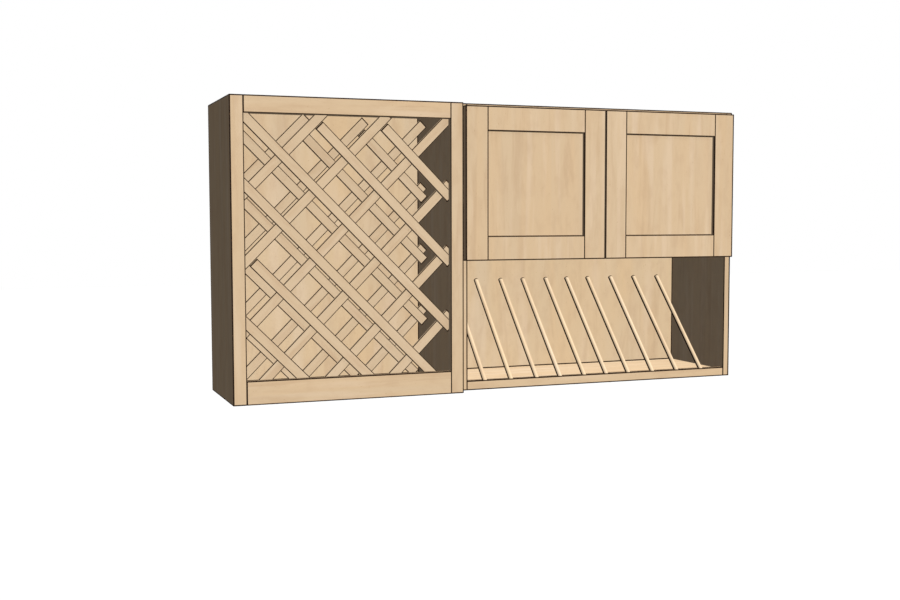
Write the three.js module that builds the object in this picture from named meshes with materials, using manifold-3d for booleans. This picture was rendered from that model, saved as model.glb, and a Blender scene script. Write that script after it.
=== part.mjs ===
// A wall unit of two joined cabinets in pale wood. The left one is a wine cabinet with a crossed
// lattice at its front and another behind it. The right one has two panelled doors above an open
// rack of slanted dowels. Millimetres, +Z up, front towards -Y, origin in the middle of the wall face.
import * as THREE from "three";
import { mergeVertices } from "three/addons/utils/BufferGeometryUtils.js";
import Module from "manifold-3d";

const wasm = await Module();
wasm.setup();

// Whole unit
const wineWidth = 609.6;
const rackWidth = 838.2;
const unitHeight = 762;
const unitDepth = 304.8;
const rackRise = 3.2; // the rack cabinet's bottom is this much above the wine cabinet's

// Boards of both carcasses
const boardThick = 19.05;
const backThick = 4;
const rabbetWidth = 9.5; // how far a back panel laps each side
const playGap = 0.3; // clearance of a piece that fits into or against another

// Face frame of the wine cabinet
const frameThick = 19.05;
const frameStile = 34.9;
const frameTopRail = 43.2;
const frameBottomRail = 60;

// Lattice: flat strips at 45 degrees, the falling ones in front of the rising ones
const stripWidth = 26.4;
const stripThick = 6.35;
const stripPitch = 120.65; // square to the strips
const firstCrossing = 106.4; // height of the lowest crossing on the cabinet's centre line
const latticeSetback = 203.2; // from the front lattice to the rear one
const stripLeast = 120; // a strip that would be shorter than this is left out
// Strips are counted in pitches from the two that meet at the first crossing. These falling ones
// start at the edge of a rising one, and this rising one ends a share of its width early.
const fallStartsAtRise = new Map([
  [0, -3],
  [3, -4],
  [4, -3],
]);
const riseShortShares = new Map([[-3, 0.37]]);
const glueSpotSize = 16;
const glueSpotThick = 0.4;
const rearSetStrips = 3; // strips in each glued set of the rear lattice

// Doors
const doorThick = 19.05;
const doorHeight = 406.4;
const doorGap = 1.5; // from a door's back to the carcass
const doorTopReveal = 6.6;
const doorSideReveal = 7;
const doorMiddleGap = 3;
const doorStile = 64;
const doorRail = 64;
const panelThick = 4.76;
const panelRecess = 11.1; // from the door's face back to the panel
const grooveDepth = 9.5;
const panelFloat = 1.5; // room for the panel to swell at the bottom of its groove

// Rack below the doors
const shelfAboveDoorEdge = 3;
const lipThick = 19.05;
const lipHeight = 25.4;
const dowelDiameter = 12.7;
const dowelLength = 362;
const dowelLean = 44; // degrees from upright, back towards the wall
const dowelEntry = 9; // from the lip's front face to the axis, at the lip's top
const dowelSunk = 6; // length of the foot inside the lip
const firstDowel = 70.9; // from the cabinet's left face
const dowelSpacing = 75;
const dowelGapShares = [1.02, 1.027, 0.94, 0.991, 0.919, 0.937, 1.035, 1.053, 1.078];

// Concealed hinges
const hingeInset = 90; // from a door's end to the cup's centre
const cupDiameter = 35;
const cupEdge = 3; // wood left between the cup and the door's edge
const cupDepth = 11.4;
const cupWall = 1;
const earThick = 1;
const earWidth = 15;
const earLength = 58;
const plateThick = 2.5;
const plateLength = 42;
const plateHeight = 36;
const plateSetback = 20; // from the carcass's front
const armThick = 7;
const armHeight = 13;
const armLength = 66;
const noseThick = 8;
const noseOut = 8; // from the side's inner face to the nose
const noseBend = 14; // length of the bend between the nose and the arm

// Facets
const dowelSides = 24;
const cupSides = 40;

// Values that follow
const cutOver = stripThick; // overrun of cutters
const doorWidth = (rackWidth - 2 * doorSideReveal - doorMiddleGap) / 2;
const wineDepth = unitDepth - frameThick;
const rackDepth = unitDepth - doorThick - doorGap;
const rackHeight = unitHeight - rackRise;
const doorBottom = unitHeight - doorTopReveal - doorHeight;

// Finishes
const finishes = {
  maple: { color: 0xd9be9a, roughness: 0.55, metalness: 0 },
  maplePanel: { color: 0xdcc3a1, roughness: 0.5, metalness: 0 },
  mapleStrip: { color: 0xd6b992, roughness: 0.55, metalness: 0 },
  mapleDowel: { color: 0xe4cba8, roughness: 0.5, metalness: 0 },
  backPly: { color: 0xcdb38d, roughness: 0.65, metalness: 0 },
  nickel: { color: 0xb9bab8, roughness: 0.3, metalness: 1 },
};

function named(name, geometry, finish) {
  const mesh = new THREE.Mesh(geometry, new THREE.MeshStandardMaterial(finishes[finish]));
  mesh.name = name;
  return mesh;
}

// A box geometry between two opposite corners.
function boxBetween(low, high) {
  const size = high.map((value, i) => value - low[i]);
  const middle = high.map((value, i) => (value + low[i]) / 2);
  return new THREE.BoxGeometry(...size).translate(...middle);
}

function board(name, low, high, finish) {
  return named(name, boxBetween(low, high), finish);
}

// An outline in X and Y, carried up along Z.
function upright(outline, height) {
  const shape = new THREE.Shape(outline.map(([x, y]) => new THREE.Vector2(x, y)));
  return new THREE.ExtrudeGeometry(shape, { depth: height, bevelEnabled: false });
}

// Joins and cuts
function toSolid(geometry) {
  const bare = geometry.clone();
  bare.deleteAttribute("normal");
  bare.deleteAttribute("uv");
  const merged = mergeVertices(bare);
  return new wasm.Manifold(
    new wasm.Mesh({
      numProp: 3,
      vertProperties: merged.getAttribute("position").array,
      triVerts: new Uint32Array(merged.getIndex().array),
    }),
  );
}

function fromSolid(solid) {
  const mesh = solid.getMesh();
  const geometry = new THREE.BufferGeometry();
  geometry.setAttribute("position", new THREE.BufferAttribute(mesh.vertProperties, mesh.numProp));
  geometry.setIndex(new THREE.BufferAttribute(mesh.triVerts, 1));
  return geometry;
}

function cutAway(geometry, cutters) {
  let solid = toSolid(geometry);
  for (const cutter of cutters) solid = solid.subtract(toSolid(cutter));
  return fromSolid(solid);
}

function joined(geometries) {
  let solid = toSolid(geometries[0]);
  for (const more of geometries.slice(1)) solid = solid.add(toSolid(more));
  return fromSolid(solid);
}

// Carcass pieces that both cabinets have. A side is rabbeted at the back for the back panel.
function sideBoard(name, outerX, inward, bottom, height, depth) {
  const inner = outerX + inward * boardThick;
  const rabbet = inner - inward * rabbetWidth;
  const outline = [
    [outerX, 0],
    [rabbet, 0],
    [rabbet, -backThick],
    [inner, -backThick],
    [inner, -depth],
    [outerX, -depth],
  ];
  return named(name, upright(outline, height).translate(0, 0, bottom), "maple");
}

function backPanel(width, bottom, top) {
  const lap = boardThick - rabbetWidth;
  return boxBetween([lap, -backThick, bottom], [width - lap, 0, top]);
}

// Lattice strips. Along is +1 for a falling strip and -1 for a rising one: a strip keeps
// X + along * Z at one value, its line, and runs to the carcass with square-cut ends. Its start and
// end are measured as X - along * Z.
const stepAcross = stripPitch * Math.SQRT2;
const halfAcross = (stripWidth / 2) * Math.SQRT2;

function stripLine(along, step) {
  return wineWidth / 2 + along * firstCrossing + step * stepAcross;
}

function stripAt(along, step) {
  const line = stripLine(along, step);
  const near = boardThick + playGap;
  const right = wineWidth - near;
  const top = unitHeight - near;
  let start;
  let end;
  if (along > 0) {
    start = Math.max(2 * near - line, line - 2 * top) + halfAcross;
    end = Math.min(2 * right - line, line - 2 * near) - halfAcross;
    if (fallStartsAtRise.has(step)) {
      start = Math.max(start, stripLine(-1, fallStartsAtRise.get(step)) + halfAcross);
    }
  } else {
    start = Math.max(2 * near - line, 2 * near + line) + halfAcross;
    end = Math.min(2 * right - line, 2 * top + line) - halfAcross;
    end -= (riseShortShares.get(step) ?? 0) * stripWidth * Math.SQRT2;
  }
  return { along, line, start, end, length: (end - start) / Math.SQRT2 };
}

// The strips that run one way and are long enough, from the lower corner of that way upwards.
function stripsAlong(along) {
  const most = Math.ceil((wineWidth + unitHeight) / stepAcross);
  const strips = [];
  for (let count = -most; count <= most; count += 1) {
    const strip = stripAt(along, along * count);
    if (strip.length > stripLeast) strips.push(strip);
  }
  return strips;
}

const falling = stripsAlong(1);
const rising = stripsAlong(-1);

function stripMesh(name, strip, frontY) {
  const middle = (strip.start + strip.end) / 2;
  const layer = strip.along > 0 ? 0 : stripThick;
  const mesh = named(name, new THREE.BoxGeometry(strip.length, stripThick, stripWidth), "mapleStrip");
  mesh.position.x = (strip.line + middle) / 2;
  mesh.position.y = frontY + layer + stripThick / 2;
  mesh.position.z = (strip.along * (strip.line - middle)) / 2;
  mesh.rotation.y = (strip.along * Math.PI) / 4;
  return mesh;
}

function frontLattice() {
  const group = new THREE.Group();
  falling.forEach((strip, i) => group.add(stripMesh(`lattice_front_fall_${i + 1}`, strip, -wineDepth)));
  rising.forEach((strip, i) => group.add(stripMesh(`lattice_front_rise_${i + 1}`, strip, -wineDepth)));
  return group;
}

function cross(a, b) {
  const over = (strip, line) => line > strip.start + halfAcross && line < strip.end - halfAcross;
  return a.along !== b.along && over(a, b.line) && over(b, a.line);
}

// Shares the strips out to glued sets. The strips with most crossings are the middles of the sets,
// and each of the others, the least crossed first, joins the smallest set whose middle it crosses.
function gluedSets(strips) {
  const crossings = (strip) => strips.filter((other) => cross(strip, other)).length;
  const byCrossings = [...strips].sort((a, b) => crossings(a) - crossings(b));
  const middles = byCrossings.splice(-Math.ceil(strips.length / rearSetStrips));
  const sets = middles.map((strip) => [strip]);
  for (const strip of byCrossings) {
    const open = sets.filter((set) => cross(set[0], strip)).sort((a, b) => a.length - b.length);
    if (open.length) open[0].push(strip);
    else sets.push([strip]);
  }
  return sets;
}

function rearLattice() {
  const group = new THREE.Group();
  const frontY = latticeSetback - wineDepth;
  gluedSets([...falling, ...rising]).forEach((set, number) => {
    const shapes = set.map((strip) => {
      const mesh = stripMesh("", strip, frontY);
      mesh.updateMatrix();
      return mesh.geometry.applyMatrix4(mesh.matrix);
    });
    const middle = set[0];
    for (const strip of set.slice(1)) {
      const x = (middle.line + strip.line) / 2;
      const z = (middle.along * (middle.line - strip.line)) / 2;
      const glue = new THREE.BoxGeometry(glueSpotSize, glueSpotThick, glueSpotSize);
      shapes.push(glue.translate(x, frontY + stripThick, z));
    }
    group.add(named(`lattice_rear_${number + 1}`, joined(shapes), "mapleStrip"));
  });
  return group;
}

// Wine cabinet, from its lower left corner at the wall
function wineCabinet() {
  const group = new THREE.Group();
  const inner = wineWidth - boardThick;
  const topZ = unitHeight - boardThick;
  group.add(sideBoard("wine_side_left", 0, 1, 0, unitHeight, wineDepth));
  group.add(sideBoard("wine_side_right", wineWidth, -1, 0, unitHeight, wineDepth));
  const across = (name, bottom) =>
    board(name, [boardThick, -wineDepth, bottom], [inner, -backThick, bottom + boardThick], "maple");
  group.add(across("wine_top", topZ));
  group.add(across("wine_bottom", 0));
  group.add(named("wine_back", backPanel(wineWidth, 0, unitHeight), "backPly"));
  group.add(faceFrame(), frontLattice(), rearLattice());
  return group;
}

function faceFrame() {
  const group = new THREE.Group();
  const right = wineWidth - frameStile;
  const railTop = unitHeight - frameTopRail;
  const front = -unitDepth;
  const back = -wineDepth;
  group.add(board("frame_stile_left", [0, front, 0], [frameStile, back, unitHeight], "maple"));
  group.add(board("frame_stile_right", [right, front, 0], [wineWidth, back, unitHeight], "maple"));
  group.add(board("frame_rail_top", [frameStile, front, railTop], [right, back, unitHeight], "maple"));
  group.add(board("frame_rail_bottom", [frameStile, front, 0], [right, back, frameBottomRail], "maple"));
  return group;
}

// Dowels: each stands in the lip and leans back, its head free, short of the back panel
const lean = THREE.MathUtils.degToRad(dowelLean);
const dowelWay = new THREE.Vector3(0, Math.sin(lean), Math.cos(lean));
const dowelSocket = new THREE.Vector3(0, dowelEntry - rackDepth, lipHeight);
const dowelPlaces = [];
const lastDowel = rackWidth - boardThick - dowelDiameter;
for (let x = firstDowel; x < lastDowel; ) {
  dowelPlaces.push(x);
  x += dowelSpacing * dowelGapShares[(dowelPlaces.length - 1) % dowelGapShares.length];
}

// A round bar on the dowel's axis that starts at a depth in the lip.
function dowelBar(x, radius, depth, length) {
  const bar = new THREE.CylinderGeometry(radius, radius, length, dowelSides);
  const middle = dowelSocket.clone().addScaledVector(dowelWay, length / 2 - depth);
  const turn = new THREE.Quaternion().setFromUnitVectors(new THREE.Vector3(0, 1, 0), dowelWay);
  return bar.applyQuaternion(turn).translate(x, middle.y, middle.z);
}

function dowelHole(x) {
  return dowelBar(x, dowelDiameter / 2 + playGap, dowelSunk + playGap, dowelLength);
}

function dowels() {
  const group = new THREE.Group();
  dowelPlaces.forEach((x, i) => {
    const bar = dowelBar(x, dowelDiameter / 2, dowelSunk, dowelLength);
    group.add(named(`rack_dowel_${i + 1}`, bar, "mapleDowel"));
  });
  return group;
}

// Rack cabinet, from its own lower left corner at the wall
function rackCabinet() {
  const group = new THREE.Group();
  const inner = rackWidth - boardThick;
  const topZ = rackHeight - boardThick;
  const shelfZ = doorBottom - rackRise + shelfAboveDoorEdge;
  const floorFront = lipThick - rackDepth;
  group.add(sideBoard("rack_side_left", 0, 1, 0, rackHeight, rackDepth));
  group.add(sideBoard("rack_side_right", rackWidth, -1, 0, rackHeight, rackDepth));
  const across = (name, front, bottom) =>
    board(name, [boardThick, front, bottom], [inner, -backThick, bottom + boardThick], "maple");
  group.add(across("rack_top", -rackDepth, topZ));
  group.add(across("rack_shelf", -rackDepth, shelfZ));
  group.add(across("rack_bottom", floorFront, 0));
  const lip = boxBetween([boardThick, -rackDepth, 0], [inner, floorFront, lipHeight]);
  group.add(named("rack_lip", cutAway(lip, dowelPlaces.map(dowelHole)), "maple"));
  group.add(named("rack_back", backPanel(rackWidth, 0, rackHeight), "backPly"));
  group.add(dowels());
  return group;
}

// Doors, each from its lower hinge corner at its back. Side is +1 where the door reaches to the
// right of its hinges, and -1 where it reaches to the left.
const grooveFront = panelRecess - doorThick;
const grooveBack = grooveFront + panelThick;

// A stile's section across its width, grooved in the edge that meets the panel.
function stileSection(edge, reach) {
  const inner = edge + reach * doorStile;
  const bed = inner - reach * grooveDepth;
  return [
    [edge, 0],
    [inner, 0],
    [inner, grooveBack],
    [bed, grooveBack],
    [bed, grooveFront],
    [inner, grooveFront],
    [inner, -doorThick],
    [edge, -doorThick],
  ];
}

// A rail between the stiles, grooved for the panel, with a tongue at each end.
function railShape(side, outerZ, inwardZ) {
  const low = side * doorStile;
  const high = side * (doorWidth - doorStile);
  const left = Math.min(low, high);
  const right = Math.max(low, high);
  const innerZ = outerZ + inwardZ * doorRail;
  const bedZ = innerZ - inwardZ * grooveDepth;
  const order = (a, b) => [Math.min(a, b), Math.max(a, b)];
  const [railLow, railHigh] = order(outerZ, innerZ);
  const [tongueLow, tongueHigh] = order(outerZ, bedZ);
  const [grooveLow, grooveHigh] = order(bedZ, innerZ + inwardZ * cutOver);
  const reach = grooveDepth - playGap;
  const body = boxBetween([left, -doorThick, railLow], [right, 0, railHigh]);
  const tongue = boxBetween(
    [left - reach, grooveFront + playGap, tongueLow],
    [right + reach, grooveBack - playGap, tongueHigh],
  );
  const groove = boxBetween(
    [left - cutOver, grooveFront, grooveLow],
    [right + cutOver, grooveBack, grooveHigh],
  );
  return fromSolid(toSolid(body).subtract(toSolid(groove)).add(toSolid(tongue)));
}

const cupRadius = cupDiameter / 2;
const cupCentre = cupEdge + cupRadius;
const hingeHeights = { bottom: hingeInset, top: doorHeight - hingeInset };

function cupBore(side, z) {
  const depth = cupDepth + playGap;
  const radius = cupRadius + playGap;
  const bore = new THREE.CylinderGeometry(radius, radius, depth + cutOver, cupSides);
  return bore.translate(side * cupCentre, (cutOver - depth) / 2, z);
}

function door(side, label) {
  const group = new THREE.Group();
  const hingeStile = upright(stileSection(0, side), doorHeight);
  const freeStile = upright(stileSection(side * doorWidth, -side), doorHeight);
  const bores = Object.values(hingeHeights).map((z) => cupBore(side, z));
  const bed = doorStile - grooveDepth + panelFloat;
  const bedZ = doorRail - grooveDepth + panelFloat;
  const edges = [side * bed, side * (doorWidth - bed)].sort((a, b) => a - b);
  const panel = boxBetween(
    [edges[0], grooveFront + playGap, bedZ],
    [edges[1], grooveBack - playGap, doorHeight - bedZ],
  );
  group.add(named(`door_${label}_hinge_stile`, cutAway(hingeStile, bores), "maple"));
  group.add(named(`door_${label}_free_stile`, freeStile, "maple"));
  group.add(named(`door_${label}_rail_top`, railShape(side, doorHeight, -1), "maple"));
  group.add(named(`door_${label}_rail_bottom`, railShape(side, 0, 1), "maple"));
  group.add(named(`door_${label}_panel`, panel, "maplePanel"));
  for (const [level, z] of Object.entries(hingeHeights)) {
    const cup = named(`hinge_${label}_${level}_cup`, cupShape(), "nickel");
    cup.position.set(side * cupCentre, 0, z);
    group.add(cup);
  }
  return group;
}

// A hinge cup: a shallow round tin let into the door, its rim proud, with an ear above and below it.
function cupShape() {
  const high = cupDepth + earThick;
  const outer = new THREE.CylinderGeometry(cupRadius, cupRadius, high, cupSides);
  outer.translate(0, earThick - high / 2, 0);
  const ears = boxBetween([-earWidth / 2, 0, -earLength / 2], [earWidth / 2, earThick, earLength / 2]);
  const bore = cupRadius - cupWall;
  const hollow = new THREE.CylinderGeometry(bore, bore, high, cupSides);
  hollow.translate(0, cupWall - cupDepth + high / 2, 0);
  return fromSolid(toSolid(outer).add(toSolid(ears)).subtract(toSolid(hollow)));
}

// A hinge arm with its plate, from the side's inner face at the carcass's front, reaching +X.
function armShape(side) {
  const noseTip = -(doorGap + cupDepth - cupWall - playGap);
  const armOuter = plateThick + armThick;
  const noseOuter = noseOut + noseThick;
  const outline = [
    [plateThick, armLength],
    [plateThick, noseBend],
    [noseOut, 0],
    [noseOut, noseTip],
    [noseOuter, noseTip],
    [noseOuter, doorGap],
    [armOuter, noseBend + doorGap],
    [armOuter, armLength],
  ];
  const arm = upright(
    outline.map(([x, y]) => [side * x, y]),
    armHeight,
  ).translate(0, 0, -armHeight / 2);
  const plateX = [0, side * (plateThick + playGap)].sort((a, b) => a - b);
  const plate = boxBetween(
    [plateX[0], plateSetback, -plateHeight / 2],
    [plateX[1], plateSetback + plateLength, plateHeight / 2],
  );
  return joined([arm, plate]);
}

// The doors and their hinges, in the rack cabinet's frame
function doorSet() {
  const group = new THREE.Group();
  const bottom = doorBottom - rackRise;
  for (const [label, side] of Object.entries({ left: 1, right: -1 })) {
    const edge = side > 0 ? doorSideReveal : rackWidth - doorSideReveal;
    const inner = side > 0 ? boardThick : rackWidth - boardThick;
    const leaf = door(side, label);
    leaf.position.set(edge, -rackDepth - doorGap, bottom);
    group.add(leaf);
    for (const [level, z] of Object.entries(hingeHeights)) {
      const arm = named(`hinge_${label}_${level}_arm`, armShape(side), "nickel");
      arm.position.set(inner, -rackDepth, bottom + z);
      group.add(arm);
    }
  }
  return group;
}

const unit = new THREE.Group();
const wine = wineCabinet();
const rack = rackCabinet();
rack.add(doorSet());
wine.position.set(-(wineWidth + rackWidth) / 2, 0, -unitHeight / 2);
rack.position.set((wineWidth - rackWidth) / 2, 0, rackRise - unitHeight / 2);
unit.add(wine, rack);
unit.name = "wine_wall_unit";

export default unit;
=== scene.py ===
import math

import bmesh
import bpy
from mathutils import Matrix, Vector


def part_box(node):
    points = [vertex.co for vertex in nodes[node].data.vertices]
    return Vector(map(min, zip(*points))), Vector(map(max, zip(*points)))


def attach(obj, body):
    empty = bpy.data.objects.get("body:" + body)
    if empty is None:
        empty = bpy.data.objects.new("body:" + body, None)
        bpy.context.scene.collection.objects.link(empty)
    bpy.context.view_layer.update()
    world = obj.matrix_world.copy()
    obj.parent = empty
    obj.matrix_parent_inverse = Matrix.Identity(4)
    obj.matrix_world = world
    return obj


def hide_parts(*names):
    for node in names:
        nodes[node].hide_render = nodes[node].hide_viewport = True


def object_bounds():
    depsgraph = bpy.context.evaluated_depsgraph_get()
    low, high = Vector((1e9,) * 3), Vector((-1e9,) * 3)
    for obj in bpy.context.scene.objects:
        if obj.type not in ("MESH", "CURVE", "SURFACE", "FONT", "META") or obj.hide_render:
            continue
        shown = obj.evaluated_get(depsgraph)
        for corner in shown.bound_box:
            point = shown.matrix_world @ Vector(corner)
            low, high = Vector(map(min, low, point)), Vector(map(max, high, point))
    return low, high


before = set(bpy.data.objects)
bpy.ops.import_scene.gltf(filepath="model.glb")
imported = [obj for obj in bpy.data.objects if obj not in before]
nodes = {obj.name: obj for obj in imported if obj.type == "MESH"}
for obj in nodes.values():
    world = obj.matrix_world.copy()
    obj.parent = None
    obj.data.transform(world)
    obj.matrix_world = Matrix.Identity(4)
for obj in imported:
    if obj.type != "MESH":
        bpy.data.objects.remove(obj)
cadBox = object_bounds()
print("frame loaded,", len(nodes), "nodes")

scene = bpy.context.scene
scene.view_settings.view_transform = "Standard"

# Camera, a little above the unit's middle, past its left end and turned towards it
cameraSettings = {
    "place": (-1.2481, -3.1598, 0.0738),
    "lens": 46.83,
    "sensor": 36.0,
    "turn": (86.123, 0.1271, -20.9934),  # degrees about X, Y and Z
}


def makeCamera(settings):
    data = bpy.data.cameras.new("camera")
    data.lens = settings["lens"]
    data.sensor_width = settings["sensor"]
    camera = bpy.data.objects.new("camera", data)
    camera.location = settings["place"]
    camera.rotation_euler = [math.radians(angle) for angle in settings["turn"]]
    scene.collection.objects.link(camera)
    scene.camera = camera


makeCamera(cameraSettings)
print("camera set")

# Lamps: one throws soft shadows and glints, the others do neither, so the inside stays clear
lampSettings = {
    "key": {"towards": (0.50, -0.62, 0.60), "level": 0.07, "soft": 18, "shadow": True, "bounces": 8},
    "fill": {"towards": (0.30, -0.95, 0.08), "level": 0.90, "soft": 6, "shadow": False, "bounces": 0},
    "top": {"towards": (0.15, -0.10, 0.98), "level": 1.04, "soft": 6, "shadow": False, "bounces": 0},
    "side": {"towards": (-0.65, 0.00, -0.76), "level": 0.21, "soft": 6, "shadow": False, "bounces": 0,
             "tint": (0.99, 1.02, 1.09)},
    "rear": {"towards": (0.10, 0.95, 0.30), "level": 0.50, "soft": 6, "shadow": False, "bounces": 0},
}
roomSettings = {
    "white": (1, 1, 1, 1),
    "dim": (0.020, 0.020, 0.022, 1),     # what the room itself sends to the object
    "floorDrop": 1.37,                   # from the unit's underside down to the floor
    "floorSize": 60,
    "floorShade": (0.62, 0.62, 0.62, 1),
    "floorGlow": 0.24,                   # lifts the lit floor to nearly white
}


# A shader node with its options and inputs. An input is a value or another node's output.
def put(tree, kind, inputs=None, **options):
    node = tree.nodes.new(kind)
    for key, value in options.items():
        setattr(node, key, value)
    for key, value in (inputs or {}).items():
        if isinstance(value, bpy.types.NodeSocket):
            tree.links.new(value, node.inputs[key])
        else:
            node.inputs[key].default_value = value
    return node


def emptyMaterial(name):
    material = bpy.data.materials.new(name)
    material.use_nodes = True
    material.node_tree.nodes.clear()
    return material


def makeLamps(settings):
    for name, lamp in settings.items():
        data = bpy.data.lights.new(name, "SUN")
        data.energy = lamp["level"] * math.pi  # a level of 1 shows a facing colour as it is written
        data.color = lamp.get("tint", (1, 1, 1))
        data.angle = math.radians(lamp["soft"])
        data.use_shadow = lamp["shadow"]
        data.cycles.max_bounces = lamp["bounces"]
        obj = bpy.data.objects.new(name, data)
        obj.rotation_mode = "QUATERNION"
        obj.rotation_quaternion = Vector(lamp["towards"]).to_track_quat("Z", "Y")
        obj.visible_glossy = lamp["shadow"]
        scene.collection.objects.link(obj)


# Bright where it is seen, straight or in gloss or glass, and dim where it would light the object
def brightWhereSeen(tree, dim, bright):
    path = put(tree, "ShaderNodeLightPath")
    direct = put(tree, "ShaderNodeMath", {
        0: path.outputs["Is Camera Ray"], 1: path.outputs["Is Glossy Ray"]}, operation="MAXIMUM")
    seen = put(tree, "ShaderNodeMath", {
        0: direct.outputs[0], 1: path.outputs["Is Transmission Ray"]}, operation="MAXIMUM")
    return put(tree, "ShaderNodeMixShader", {
        0: seen.outputs[0], 1: dim.outputs[0], 2: bright.outputs[0]}).outputs[0]


def makeRoom(settings):
    world = bpy.data.worlds.new("room")
    scene.world = world
    world.use_nodes = True
    tree = world.node_tree
    tree.nodes.clear()
    dim = put(tree, "ShaderNodeBackground", {"Color": settings["dim"]})
    white = put(tree, "ShaderNodeBackground", {"Color": settings["white"]})
    put(tree, "ShaderNodeOutputWorld", {"Surface": brightWhereSeen(tree, dim, white)})


def makeFloor(settings):
    half = settings["floorSize"] / 2
    height = cadBox[0].z - settings["floorDrop"]
    corners = [(x, y, height) for x, y in ((-half, -half), (half, -half), (half, half), (-half, half))]
    mesh = bpy.data.meshes.new("floor")
    mesh.from_pydata(corners, [], [(0, 1, 2, 3)])
    floor = bpy.data.objects.new("floor", mesh)
    scene.collection.objects.link(floor)
    material = emptyMaterial("paleFloor")
    tree = material.node_tree
    dim = put(tree, "ShaderNodeBsdfDiffuse", {"Color": settings["dim"]})
    shade = put(tree, "ShaderNodeBsdfDiffuse", {"Color": settings["floorShade"]})
    glow = put(tree, "ShaderNodeEmission", {
        "Color": settings["white"], "Strength": settings["floorGlow"]})
    pale = put(tree, "ShaderNodeAddShader", {0: shade.outputs[0], 1: glow.outputs[0]})
    put(tree, "ShaderNodeOutputMaterial", {"Surface": brightWhereSeen(tree, dim, pale)})
    mesh.materials.append(material)


makeLamps(lampSettings)
makeRoom(roomSettings)
makeFloor(roomSettings)
print("lamps, room and floor set")


# Colours are written on the screen's scale, 0 to 255. Its standard curve makes them linear.
def tone(red, green, blue):
    def linear(value):
        value /= 255
        return value / 12.92 if value <= 0.04045 else ((value + 0.055) / 1.055) ** 2.4
    return (linear(red), linear(green), linear(blue), 1)


# Clear-finished maple. Each layer of its figure has a length along the grain and a width in
# metres, its noise, the range of the noise over which it fades in, and its share at the full.
mapleSettings = {
    "bands": {"length": 0.7, "width": 0.050, "detail": 2.0, "roughness": 0.45, "distortion": 0.6},
    "rosy": tone(219.5, 190, 152.5),
    "plain": tone(218.5, 190.5, 154.5),
    "pale": tone(217.5, 191, 156.5),
    "bandPlaces": {"rosy": 0.36, "plain": 0.50, "pale": 0.64},
    "streaks": {
        "length": 0.26, "width": 0.024, "detail": 4.0, "roughness": 0.6, "distortion": 0.8,
        "range": (0.48, 0.72), "share": 0.44, "tone": tone(199, 167, 133)},
    "lights": {
        "length": 0.40, "width": 0.026, "detail": 2.0, "roughness": 0.5,
        "range": (0.50, 0.72), "share": 0.44, "tone": tone(230, 206, 177)},
    "clouds": {
        "length": 0.052, "width": 0.026, "detail": 2.0, "roughness": 0.5,
        "range": (0.45, 0.70), "share": 0.22, "tone": tone(199, 167, 133)},
    "pores": {
        "length": 0.020, "width": 0.0011, "detail": 3.0, "roughness": 0.65,
        "range": (0.48, 0.74), "share": 0.08, "tone": tone(178, 142, 100)},
    "flecks": {
        "length": 0.007, "width": 0.0024, "detail": 1.0, "roughness": 0.5,
        "range": (0.71, 0.80), "share": 0.40, "tone": tone(168, 130, 90)},
    "boardShare": 0.03,                  # how far one board's tone may lie from the next one's
    "shift": (13.7, 5.3, 9.1),           # moves the figure from one board to the next
    "smooth": 0.52,                      # roughness between the streaks, and on them
    "rough": 0.66,
    "roughRange": (0.3, 0.7),
    "specular": 0.0,
    "bump": 0.10,                        # the pores' relief
    "bumpDepth": 0.0004,
}
mapleKinds = {                           # way of the grain, and what differs from the settings above
    "mapleUpright": ("upright", {}),
    "mapleAcross": ("across", {}),
    "mapleStrip": ("across", {
        "rosy": tone(216, 190, 156), "plain": tone(216, 190.5, 157.5), "pale": tone(216, 191, 158),
        "lights": {"share": 0.24}, "boardShare": 0.015}),
    "maplePanel": ("upright", {}),
    "mapleBack": ("upright", {
        "rosy": tone(222, 192, 152.5), "plain": tone(220, 192.5, 155.5), "pale": tone(218, 193, 159.5),
        "bands": {"width": 0.12}, "streaks": {"width": 0.05}, "lights": {"width": 0.06},
        "pores": {"share": 0.04}}),
    "dowelMaple": ("across", {
        "rosy": tone(220, 194.5, 159), "plain": tone(219.5, 195, 161.5), "pale": tone(219, 195.5, 164)}),
}
grainTurns = {                           # turns that bring each way of the grain onto X
    "across": (0, 0, 0),
    "upright": (0, math.radians(90), 0),
}


# A look with some of its settings changed, those of its layers too
def changed(look, changes):
    look = dict(look)
    for key, value in changes.items():
        look[key] = changed(look[key], value) if isinstance(value, dict) else value
    return look


def noise(tree, place, layer):
    scale = (1 / layer["length"], 1 / layer["width"], 1 / layer["width"])
    size = put(tree, "ShaderNodeMapping", {"Vector": place, "Scale": scale})
    return put(tree, "ShaderNodeTexNoise", {
        "Vector": size.outputs[0], "Scale": 1.0, "Detail": layer["detail"],
        "Roughness": layer["roughness"], "Distortion": layer.get("distortion", 0.0),
    }).outputs["Fac"]


def faded(tree, value, span, low=0.0, high=1.0):
    return put(tree, "ShaderNodeMapRange", {
        "Value": value, "From Min": span[0], "From Max": span[1], "To Min": low, "To Max": high,
    }, interpolation_type="SMOOTHSTEP").outputs[0]


def blended(tree, share, first, second):
    return put(tree, "ShaderNodeMix", {0: share, 6: first, 7: second}, data_type="RGBA").outputs[2]


def bandColour(tree, place, look):
    ramp = put(tree, "ShaderNodeValToRGB", {"Fac": noise(tree, place, look["bands"])})
    points = ramp.color_ramp.elements
    places = look["bandPlaces"]
    points[0].position = places["rosy"]
    points[0].color = look["rosy"]
    points[1].position = places["pale"]
    points[1].color = look["pale"]
    points.new(places["plain"]).color = look["plain"]
    return ramp.outputs["Color"]


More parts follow.
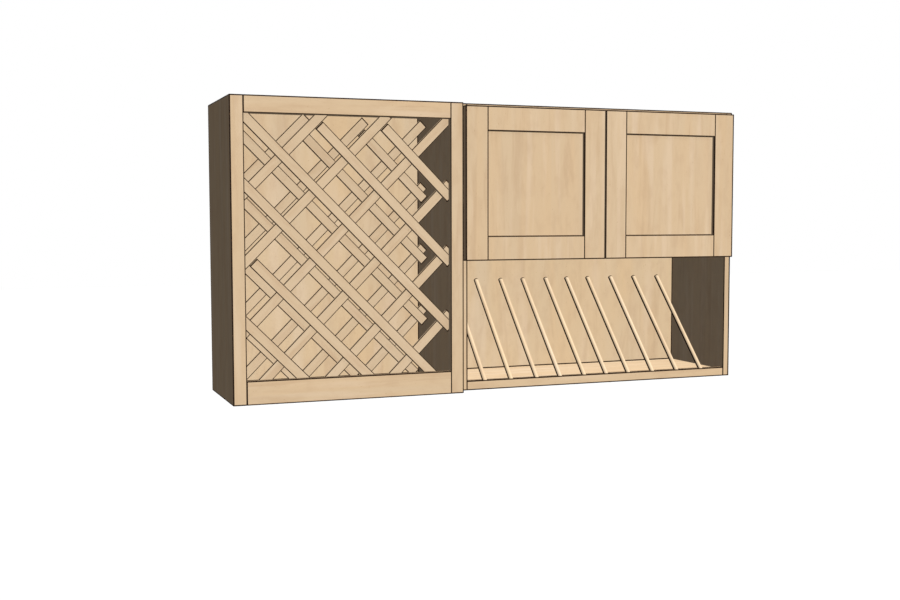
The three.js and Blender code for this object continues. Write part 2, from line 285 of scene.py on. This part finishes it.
def maple(name, grain, changes):
    look = changed(mapleSettings, changes)
    material = emptyMaterial(name)
    tree = material.node_tree
    place = put(tree, "ShaderNodeTexCoord").outputs["Object"]
    chance = put(tree, "ShaderNodeObjectInfo").outputs["Random"]
    turned = put(tree, "ShaderNodeMapping", {"Vector": place, "Rotation": grainTurns[grain]})
    own = put(tree, "ShaderNodeVectorMath", {
        0: chance, 1: look["shift"], 2: turned.outputs[0]}, operation="MULTIPLY_ADD").outputs[0]
    colour = bandColour(tree, own, look)
    figure = {}
    for part in ("streaks", "lights", "clouds", "pores", "flecks"):
        layer = look[part]
        figure[part] = noise(tree, own, layer)
        share = faded(tree, figure[part], layer["range"], high=layer["share"])
        colour = blended(tree, share, colour, layer["tone"])
    # Each board a little lighter or darker than the next
    level = put(tree, "ShaderNodeMapRange", {
        "Value": chance, "To Min": 1 - look["boardShare"] / 2, "To Max": 1 + look["boardShare"] / 2})
    colour = put(tree, "ShaderNodeHueSaturation", {
        "Color": colour, "Value": level.outputs[0]}).outputs[0]
    rough = faded(tree, figure["streaks"], look["roughRange"], look["smooth"], look["rough"])
    bump = put(tree, "ShaderNodeBump", {
        "Strength": look["bump"], "Distance": look["bumpDepth"], "Height": figure["pores"]})
    shader = put(tree, "ShaderNodeBsdfPrincipled", {
        "Base Color": colour, "Roughness": rough, "Normal": bump.outputs[0],
        "Specular IOR Level": look["specular"]})
    put(tree, "ShaderNodeOutputMaterial", {"Surface": shader.outputs[0]})
    return material


# Painted shade: the dark lines along the boards' edges and joints, paler in patches
edgeSettings = {
    "dark": tone(40, 26, 16),
    "paleShade": tone(76, 53, 34),
    "patches": {"length": 0.030, "width": 0.006, "detail": 4.0, "roughness": 0.6, "range": (0.50, 0.78)},
    "rough": 0.75,
    "specular": 0.15,
}


def edgeShade(settings):
    material = emptyMaterial("edgeShade")
    tree = material.node_tree
    place = put(tree, "ShaderNodeTexCoord").outputs["Object"]
    patches = settings["patches"]
    share = faded(tree, noise(tree, place, patches), patches["range"])
    shader = put(tree, "ShaderNodeBsdfPrincipled", {
        "Base Color": blended(tree, share, settings["dark"], settings["paleShade"]),
        "Roughness": settings["rough"], "Specular IOR Level": settings["specular"]})
    put(tree, "ShaderNodeOutputMaterial", {"Surface": shader.outputs[0]})
    return material


# Brushed nickel of the hinges
nickelSettings = {
    "light": tone(214, 212, 207),
    "dull": tone(178, 175, 168),
    "metallic": 0.45,                    # plating with a soft sheen
    "haze": {"length": 0.012, "width": 0.012, "detail": 3.0, "roughness": 0.6, "range": (0.35, 0.7)},
    "brush": {"length": 0.012, "width": 0.0004, "detail": 3.0, "roughness": 0.6, "range": (0.3, 0.7)},
    "smooth": 0.22,                      # roughness between the brush marks, and on them
    "rough": 0.42,
}


def brushedNickel(settings):
    material = emptyMaterial("brushedNickel")
    tree = material.node_tree
    place = put(tree, "ShaderNodeTexCoord").outputs["Object"]
    haze, brush = settings["haze"], settings["brush"]
    share = faded(tree, noise(tree, place, haze), haze["range"])
    rough = faded(tree, noise(tree, place, brush), brush["range"], settings["smooth"], settings["rough"])
    shader = put(tree, "ShaderNodeBsdfPrincipled", {
        "Base Color": blended(tree, share, settings["light"], settings["dull"]),
        "Roughness": rough, "Metallic": settings["metallic"]})
    put(tree, "ShaderNodeOutputMaterial", {"Surface": shader.outputs[0]})
    return material


finishes = {name: maple(name, grain, changes) for name, (grain, changes) in mapleKinds.items()}
# The painted shade for the lines along edges and joints
finishes["edgeShade"] = edgeShade(edgeSettings)
finishes["nickel"] = brushedNickel(nickelSettings)
print("finishes made")


# A piece from its own mesh code, placed by a matrix
def addPiece(name, build, matrix, body, materials, stoodFor):
    mesh = bpy.data.meshes.new(name)
    shape = bmesh.new()
    build(shape)
    bmesh.ops.recalc_face_normals(shape, faces=shape.faces)
    shape.to_mesh(mesh)
    shape.free()
    for material in materials:
        mesh.materials.append(finishes[material])
    obj = bpy.data.objects.new(name, mesh)
    obj.matrix_world = matrix
    scene.collection.objects.link(obj)
    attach(obj, body)
    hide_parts(*stoodFor)


def easeEdges(shape, edges, size, steps, **options):
    quarterRound = 0.5
    bmesh.ops.bevel(shape, geom=edges, offset=size, segments=steps, affect="EDGES",
                    profile=quarterRound, **options)


# Boards take the frame's shape. Their edges are eased, and a line of painted shade runs along each one.
lineSettings = {
    "weld": 0.00001,
    "flat": 1,                           # degrees between faces that count as one
    "width": 0.0032,
    "ease": 0.0008,
    "easeSteps": 2,
    "facing": 0.5,                       # how far a face turns to the front to take a corner's painted shade
}
woodIndex, lineIndex = 0, 1              # their places in a piece's list of finishes
# A side is its axis and its end
left, right, front, back, bottom, top = [(axis, end) for axis in range(3) for end in (0, 1)]
boardLooks = {                           # finish, slot, and each side's share of the painted shade line, or else 1
    "wine_side_left": ("mapleUpright", "cabinet_maple", {front: 0}),
    "wine_side_right": ("mapleUpright", "cabinet_maple", {front: 0}),
    "wine_top": ("mapleAcross", "cabinet_maple", {front: 0}),
    "wine_bottom": ("mapleAcross", "cabinet_maple", {front: 0}),
    "wine_back": ("mapleBack", "back_ply", {}),
    "frame_stile_left": ("mapleUpright", "frame_maple", {back: 0, right: 0.8}),
    "frame_stile_right": ("mapleUpright", "frame_maple", {back: 0, left: 0.5}),
    "frame_rail_top": ("mapleAcross", "frame_maple", {left: 0.5, right: 0.5, back: 0, bottom: 0.6}),
    # Wide front and back shares paint most of the rail's top face and underside dark: painted shade
    "frame_rail_bottom": ("mapleAcross", "frame_maple", {
        left: 0.5, right: 0.5, front: 2.5, back: 2.5, top: 0.8, bottom: 0.9}),
    "rack_side_left": ("mapleUpright", "cabinet_maple", {left: 0.6, right: 1.1}),
    "rack_side_right": ("mapleUpright", "cabinet_maple", {left: 0.5, right: 1.4}),
    "rack_top": ("mapleAcross", "cabinet_maple", {left: 0, right: 0}),
    "rack_shelf": ("mapleAcross", "cabinet_maple", {left: 0, right: 0}),
    "rack_bottom": ("mapleAcross", "cabinet_maple", {left: 0, right: 0, front: 0}),
    "rack_back": ("mapleBack", "back_ply", {}),
    # Wide front and back shares paint most of the lip's top face dark: painted shade
    "rack_lip": ("mapleAcross", "cabinet_maple", {
        left: 0, right: 0.8, front: 2.5, back: 2.5, top: 0.9}),
}
cornerShadeLooks = {                            # boards that stand against each back, with a line of painted shade in the corner beside each
    "wine_back": ("wine_side_left", "wine_side_right", "wine_bottom"),
    "rack_back": ("rack_side_left", "rack_side_right", "rack_bottom", "rack_shelf", "rack_top"),
}
doorLooks = {                            # the stiles' shares stand below
    "hinge_stile": ("mapleUpright", "door_maple", {}),
    "free_stile": ("mapleUpright", "door_maple", {}),
    "rail_top": ("mapleUpright", "door_maple", {left: 0, right: 0, bottom: 0.6}),
    "rail_bottom": ("mapleUpright", "door_maple", {left: 0, right: 0, top: 0.6}),
    "panel": ("maplePanel", "panel_maple", {left: 0, right: 0, bottom: 0, top: 0}),
}
# Shares of the painted shade lines on the doors' stiles
outerShares = {left: 1, right: 1.25}     # along the doors' hinge sides
meetingShare = 0.6                       # where the two doors meet
panelCornerShadeShare = 0.5                     # on a panel, painted shade along the rails


# Eases a piece's outer edges and paints shade in a band along each, as wide as its side's share
def lineEdges(shape, low, high, shares, settings):
    places = {(axis, end): bound[axis] for end, bound in enumerate((low, high)) for axis in range(3)}
    widths = {side: settings["width"] * shares.get(side, 1) for side in places}

    def sidesAt(spot):
        return {side for side, place in places.items()
                if widths[side] and abs(spot[side[0]] - place) < settings["weld"]}

    corners = [edge for edge in shape.edges
               if len(sidesAt(edge.verts[0].co) & sidesAt(edge.verts[1].co)) == 2]
    easeEdges(shape, corners, settings["ease"], settings["easeSteps"], material=lineIndex)
    for (axis, end), width in widths.items():
        if width:
            cutAcross(shape, axis, places[axis, end] + (1 - 2 * end) * width, settings)
    for face in shape.faces:
        facing = max(range(3), key=lambda axis: abs(face.normal[axis]))
        middle = face.calc_center_median()
        for (axis, end), width in widths.items():
            if axis != facing and abs(middle[axis] - places[axis, end]) < width:
                face.material_index = lineIndex


def cutAcross(shape, axis, place, settings):
    spot, way = Vector(), Vector()
    spot[axis] = place
    way[axis] = 1
    everything = shape.verts[:] + shape.edges[:] + shape.faces[:]
    bmesh.ops.bisect_plane(shape, geom=everything, dist=settings["weld"], plane_co=spot, plane_no=way)


# Paints shade on the front faces in a band beside each neighbouring board, where the corner is shaded
def paintCornerShade(shape, neighbours, width, settings):
    for neighbour in neighbours:
        low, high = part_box(neighbour)
        axis = min((0, 2), key=lambda axis: high[axis] - low[axis])  # through the board's thickness
        for start, end in ((low[axis] - width, low[axis]), (high[axis], high[axis] + width)):
            cutAcross(shape, axis, start, settings)
            cutAcross(shape, axis, end, settings)
            for face in shape.faces:
                inLine = start < face.calc_center_median()[axis] < end
                if inLine and face.normal.y < -settings["facing"]:
                    face.material_index = lineIndex


def makeBoard(name, look, body, settings, shadedBeside=(), cornerShadeShare=1):
    finish, slotName, shares = look
    low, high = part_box(name)

    def build(shape):
        shape.from_mesh(nodes[name].data)
        bmesh.ops.remove_doubles(shape, verts=shape.verts, dist=settings["weld"])
        bmesh.ops.dissolve_limit(
            shape, angle_limit=math.radians(settings["flat"]), verts=shape.verts, edges=shape.edges)
        for face in shape.faces:
            face.material_index = woodIndex
        shape.normal_update()
        lineEdges(shape, low, high, shares, settings)
        paintCornerShade(shape, shadedBeside, settings["width"] * cornerShadeShare, settings)
        bmesh.ops.dissolve_degenerate(shape, dist=settings["weld"], edges=shape.edges)

    addPiece(f"{name}_board", build, Matrix.Identity(4), body, [finish, "edgeShade"], [name])


for name, look in boardLooks.items():
    makeBoard(name, look, "root", lineSettings, cornerShadeLooks.get(name, ()))
print("cabinets' boards made")

for label, outer, meeting in (("left", left, right), ("right", right, left)):
    stileShares = {"hinge_stile": {outer: outerShares[outer]}, "free_stile": {meeting: meetingShare}}
    rails = [f"door_{label}_rail_{level}" for level in ("top", "bottom")]
    for part, (finish, slotName, shares) in doorLooks.items():
        look = (finish, slotName, stileShares.get(part, shares))
        shadedBeside = rails if part == "panel" else ()
        makeBoard(f"door_{label}_{part}", look, f"door_{label}", lineSettings, shadedBeside, panelCornerShadeShare)
print("doors made")

# Lattice. The strips run at 45 degrees, and the rear ones repeat the front ones further in.
slant = math.sqrt(0.5)
stripWays = {
    "fall": {"along": Vector((slant, 0, -slant)), "across": Vector((slant, 0, slant))},
    "rise": {"along": Vector((slant, 0, slant)), "across": Vector((-slant, 0, slant))},
}
# Shares of the painted shade lines along each strip's edges
stripShares = {front: 0.35, back: 0.35, bottom: 0.65, top: 0.65}


# Where a node starts and ends along a way
def reach(node, way):
    spots = [way.dot(v.co) for v in nodes[node].data.vertices]
    return min(spots), max(spots)


# The node with a corner at the spot, of those whose names start so
def nodeAt(spot, start):
    near = {}
    for name in nodes:
        if name.startswith(start):
            near[name] = min((v.co - spot).length for v in nodes[name].data.vertices)
    return min(near, key=near.get)


def addBox(shape, low, high):
    made = bmesh.ops.create_cube(shape, size=1)["verts"]
    for vert in made:
        for axis in range(3):
            vert.co[axis] = low[axis] + (high[axis] - low[axis]) * (vert.co[axis] + 0.5)
    shape.normal_update()
    return made


def makeLattice(settings):
    fronts = sorted(name for name in nodes if name.startswith("lattice_front_"))
    rears = [name for name in nodes if name.startswith("lattice_rear_")]
    setback = min(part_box(name)[0].y for name in rears) - min(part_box(name)[0].y for name in fronts)
    for name in fronts:
        kind, number = name.split("_")[2:]
        along, across = stripWays[kind]["along"], stripWays[kind]["across"]
        start, end = reach(name, along)
        lowest, highest = reach(name, across)
        near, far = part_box(name)[0].y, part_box(name)[1].y
        middle = along * (start + end) / 2 + across * (lowest + highest) / 2
        middle += Vector((0, (near + far) / 2, 0))
        half = Vector((end - start, far - near, highest - lowest)) / 2
        turn = Matrix((along, across.cross(along), across)).transposed()

        def build(shape):
            addBox(shape, -half, half)
            lineEdges(shape, -half, half, stripShares, settings)

        further = middle + Vector((0, setback, 0))
        behind = nodeAt(further + turn @ half, "lattice_rear_")
        places = ((f"lattice_front_{kind}_{number}_strip", middle, name),
                  (f"lattice_rear_{kind}_{number}_strip", further, behind))
        for label, place, stoodFor in places:
            addPiece(label, build, Matrix.Translation(place) @ turn.to_4x4(), "root",
                     ["mapleStrip", "edgeShade"], [stoodFor])


makeLattice(lineSettings)
print("lattice made")

# Dowels: round bars with softened ends, painted shade in a ring round the head and in a line down each
# side
dowelSettings = {
    "sides": 48,
    "ease": 0.0016,
    "easeSteps": 4,
    "ring": 0.0036,                      # the painted shade ring round the head
    "line": 27,                          # half of each side's painted shade line, in degrees round the bar
    "digits": 5,                         # of a metre, in which two spots are the same if equal
}


def middleOf(spots, digits):
    single = {tuple(round(value, digits) for value in spot) for spot in spots}
    return sum((Vector(spot) for spot in single), Vector()) / len(single)


# A ring of points round the X axis, with one radius for each point
def addRing(shape, place, radii, matrix=Matrix.Identity(4)):
    ring = []
    for count, radius in enumerate(radii):
        angle = 2 * math.pi * count / len(radii)
        spot = Vector((place, radius * math.cos(angle), radius * math.sin(angle)))
        ring.append(shape.verts.new(matrix @ spot))
    return ring


def joinRings(shape, rings, smooth):
    for first, second in zip(rings, rings[1:]):
        for count in range(len(first)):
            after = (count + 1) % len(first)
            face = shape.faces.new((first[count], first[after], second[after], second[count]))
            face.smooth = smooth
    shape.faces.new(rings[0][::-1])
    shape.faces.new(rings[-1])


def addTurned(shape, stations, sides):
    rings = [addRing(shape, place, [radius] * sides) for place, radius in stations]
    joinRings(shape, rings, True)


# Places and radii of a bar's softened end, from the side in to the flat
def roundEnd(radius, ease, steps):
    for step in range(steps + 1):
        angle = math.pi / 2 * step / steps
        yield ease * (1 - math.sin(angle)), radius - ease * (1 - math.cos(angle))


def makeDowels(settings):
    lineReach = math.cos(math.radians(settings["line"]))
    for name in sorted(n for n in nodes if n.startswith("rack_dowel_")):
        low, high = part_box(name)
        spots = [v.co.copy() for v in nodes[name].data.vertices]
        half = (low.z + high.z) / 2
        foot = middleOf([spot for spot in spots if spot.z < half], settings["digits"])
        head = middleOf([spot for spot in spots if spot.z > half], settings["digits"])
        way = (head - foot).normalized()
        side = Vector((1, 0, 0))
        turn = Matrix((way, side.cross(way), side)).transposed()
        radius = (high.x - low.x) / 2
        length = (head - foot).length
        ends = list(roundEnd(radius, settings["ease"], settings["easeSteps"]))
        ring = length - settings["ring"]
        stations = ends + [(ring, radius)] + [(length - place, size) for place, size in ends]
        stations.sort()

        def build(shape):
            addTurned(shape, stations, settings["sides"])
            shape.normal_update()
            # Painted shade on the faces in the head's ring and on the two sides that face along X
            for face in shape.faces:
                inRing = face.calc_center_median().x > ring
                inLine = abs(face.normal.z) > lineReach
                if len(face.verts) == 4 and (inRing or inLine):  # the two flat ends stay bare
                    face.material_index = lineIndex

        addPiece(f"{name}_bar", build, Matrix.Translation(foot) @ turn.to_4x4(), "root",
                 ["dowelMaple", "edgeShade"], [name])


makeDowels(dowelSettings)
print("dowels made")

# Hinges: a pressed cup with its screws on the door, and an arm on a plate on the cabinet's side
screwSettings = {
    "sides": 24,
    "radius": 0.0034,
    "height": 0.0012,
    "rimShare": 0.6,                     # how much of the height is straight
    "topShare": 0.82,                    # how wide the top is beside the foot
    "slotLong": 0.0021,
    "slotHalf": 0.0006,
    "slotDeep": 0.0010,
}
cupSettings = {
    "sides": 64,
    "wall": 0.0010,
    "round": 0.0016,
    "roundSteps": 5,
    "earWidth": 0.0150,
    "earThick": 0.0010,
    "earSteps": 10,
    "screwPlace": 0.0240,                # from the cup's middle
    "ease": 0.0003,
    "easeSteps": 2,
}
armSettings = {
    "plateThick": 0.0025,
    "plateSetback": 0.0200,
    "plateLength": 0.0420,
    "armThick": 0.0070,
    "armHeight": 0.0130,
    "noseOut": 0.0080,
    "noseThick": 0.0080,
    "noseBend": 0.0140,
    "bendSteps": 6,
    "frontGap": 0.0015,                  # from the cabinet's front to the door's back
    "screwPlaces": (0.0065, 0.0355),     # from the plate's front end
    "screwHeight": 0.0115,               # above and below the arm's middle
    "setScrews": (0.018, 0.034, 0.052),  # from the cabinet's front, on the arm
    "ease": 0.0005,
    "easeSteps": 2,
}


# How far a crossed slot's wall lies from its middle, at an angle round it
def slotRadius(angle, long, half):
    turned = abs((angle + math.pi / 4) % (math.pi / 2) - math.pi / 4)
    end = long / math.cos(turned)
    return end if end * math.sin(turned) <= half else half / math.sin(turned)


# A flat-headed screw with a crossed slot, its head facing along the matrix's X
def addScrew(shape, matrix, settings):
    sides, radius, height = settings["sides"], settings["radius"], settings["height"]
    slot = [slotRadius(2 * math.pi * count / sides, settings["slotLong"], settings["slotHalf"])
            for count in range(sides)]
    rows = (
        (0, [radius] * sides),
        (height * settings["rimShare"], [radius] * sides),
        (height, [radius * settings["topShare"]] * sides),
        (height, slot),
        (height - settings["slotDeep"], slot),
    )
    joinRings(shape, [addRing(shape, place, radii, matrix) for place, radii in rows], False)


# Turns the X axis to a direction and moves it to a place
def aimed(direction, place):
    turn = Vector(direction).to_track_quat("X", "Z").to_matrix().to_4x4()
    return Matrix.Translation(place) @ turn


# A plate with this outline, from low to high on Y (axis 1) or Z (axis 2), its rims eased
def addPrism(shape, outline, low, high, axis, settings):
    def spot(a, b, c):
        return (a, b, c) if axis == 2 else (a, c, b)
    lowRing = [shape.verts.new(spot(a, b, low)) for a, b in outline]
    highRing = [shape.verts.new(spot(a, b, high)) for a, b in outline]
    faces = [shape.faces.new(lowRing), shape.faces.new(highRing[::-1])]
    for count in range(len(outline)):
        after = (count + 1) % len(outline)
        faces.append(shape.faces.new((lowRing[count], highRing[count], highRing[after], lowRing[after])))
    bmesh.ops.recalc_face_normals(shape, faces=faces)
    rims = {edge for face in faces[:2] for edge in face.edges}
    easeEdges(shape, list(rims), settings["ease"], settings["easeSteps"])


def pillOutline(halfWide, halfLong, steps):
    outline = []
    for end, turn in ((1, 0), (-1, math.pi)):
        for step in range(steps + 1):
            angle = math.pi * step / steps + turn
            outline.append((halfWide * math.cos(angle),
                            end * (halfLong - halfWide) + halfWide * math.sin(angle)))
    return outline


def cupBuilder(low, high, settings, screw):
    radius = (high.x - low.x) / 2
    halfLong = (high.z - low.z) / 2
    halfEar = settings["earWidth"] / 2
    rim = high.y - (low.y + high.y) / 2
    base = low.y - (low.y + high.y) / 2

    def addBowl(shape):
        curve = [(0.0, radius - settings["round"])]
        for step in range(1, settings["roundSteps"] + 1):
            angle = math.pi / 2 * step / settings["roundSteps"]
            curve.append((settings["round"] * (1 - math.cos(angle)),
                          radius - settings["round"] * (1 - math.sin(angle))))
        depth = rim - base
        outside = curve + [(depth, radius)]
        inside = [(depth, radius - settings["wall"])] + [
            (place + settings["wall"], size - settings["wall"]) for place, size in curve[::-1]]
        bowl = bmesh.new()
        addTurned(bowl, outside + inside, settings["sides"])
        bmesh.ops.transform(bowl, matrix=aimed((0, 1, 0), (0, base, 0)), verts=bowl.verts)
        mesh = bpy.data.meshes.new("bowl")
        bowl.to_mesh(mesh)
        bowl.free()
        shape.from_mesh(mesh)
        bpy.data.meshes.remove(mesh)

    def build(shape):
        addBowl(shape)
        pill = pillOutline(halfEar, halfLong, settings["earSteps"])
        for end in (1, -1):
            foot = end * math.sqrt((radius - settings["wall"]) ** 2 - halfEar ** 2)
            ear = [(x, z) for x, z in pill if z * end > 0]
            ear += [(ear[-1][0], foot), (ear[0][0], foot)]
            addPrism(shape, ear, rim - settings["earThick"], rim - settings["ease"], 1, settings)
            place = (0, rim - settings["earThick"] / 2, end * settings["screwPlace"])
            addScrew(shape, aimed((0, 1, 0), place), screw)

    return build


def armBuilder(side, low, high, carcassFront, settings, screw):
    inner = low.x if side > 0 else high.x
    middle = (low.z + high.z) / 2
    tip, tail = low.y, high.y
    halfHigh = settings["armHeight"] / 2
    plate, thick, gap = settings["plateThick"], settings["armThick"], settings["frontGap"]
    out, nose = settings["noseOut"], settings["noseThick"]
    bendEnd = carcassFront + settings["noseBend"]

    def curveBetween(start, end):
        for step in range(settings["bendSteps"] + 1):
            share = step / settings["bendSteps"]
            ease = share * share * (3 - 2 * share)
            yield start[0] + (end[0] - start[0]) * ease, start[1] + (end[1] - start[1]) * share

    def build(shape):
        outline = [
            (plate, tail),
            *curveBetween((plate, bendEnd), (out, carcassFront)),
            (out, tip),
            (out + nose, tip),
            *curveBetween((out + nose, carcassFront + gap), (plate + thick, bendEnd + gap)),
            (plate + thick, tail),
        ]
        outline = [(inner + side * x, y) for x, y in outline]
        addPrism(shape, outline, middle - halfHigh, middle + halfHigh, 2, settings)
        start = carcassFront + settings["plateSetback"]
        corner = sorted((inner, inner + side * plate))
        plateEnd = start + settings["plateLength"]
        made = addBox(shape, (corner[0], start, low.z), (corner[1], plateEnd, high.z))
        rims = {edge for vert in made for edge in vert.link_edges}
        easeEdges(shape, list(rims), settings["ease"], settings["easeSteps"])
        for place in settings["screwPlaces"]:
            for level in (1, -1):
                spot = (inner + side * plate, start + place, middle + level * settings["screwHeight"])
                addScrew(shape, aimed((side, 0, 0), spot), screw)
        for place in settings["setScrews"]:
            spot = (inner + side * (plate + thick), carcassFront + place, middle)
            addScrew(shape, aimed((side, 0, 0), spot), screw)

    return build


def makeHinges():
    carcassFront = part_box("rack_side_left")[0].y
    for label, side in (("left", 1), ("right", -1)):
        for level in ("bottom", "top"):
            cup = f"hinge_{label}_{level}_cup"
            low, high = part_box(cup)
            build = cupBuilder(low, high, cupSettings, screwSettings)
            addPiece(f"{cup}_piece", build, Matrix.Translation((low + high) / 2), f"door_{label}",
                     ["nickel"], [cup])
            arm = f"hinge_{label}_{level}_arm"
            low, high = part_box(arm)
            build = armBuilder(side, low, high, carcassFront, armSettings, screwSettings)
            addPiece(f"{arm}_piece", build, Matrix.Identity(4), "root",
                     ["nickel"], [arm])


makeHinges()
print("hinges made")
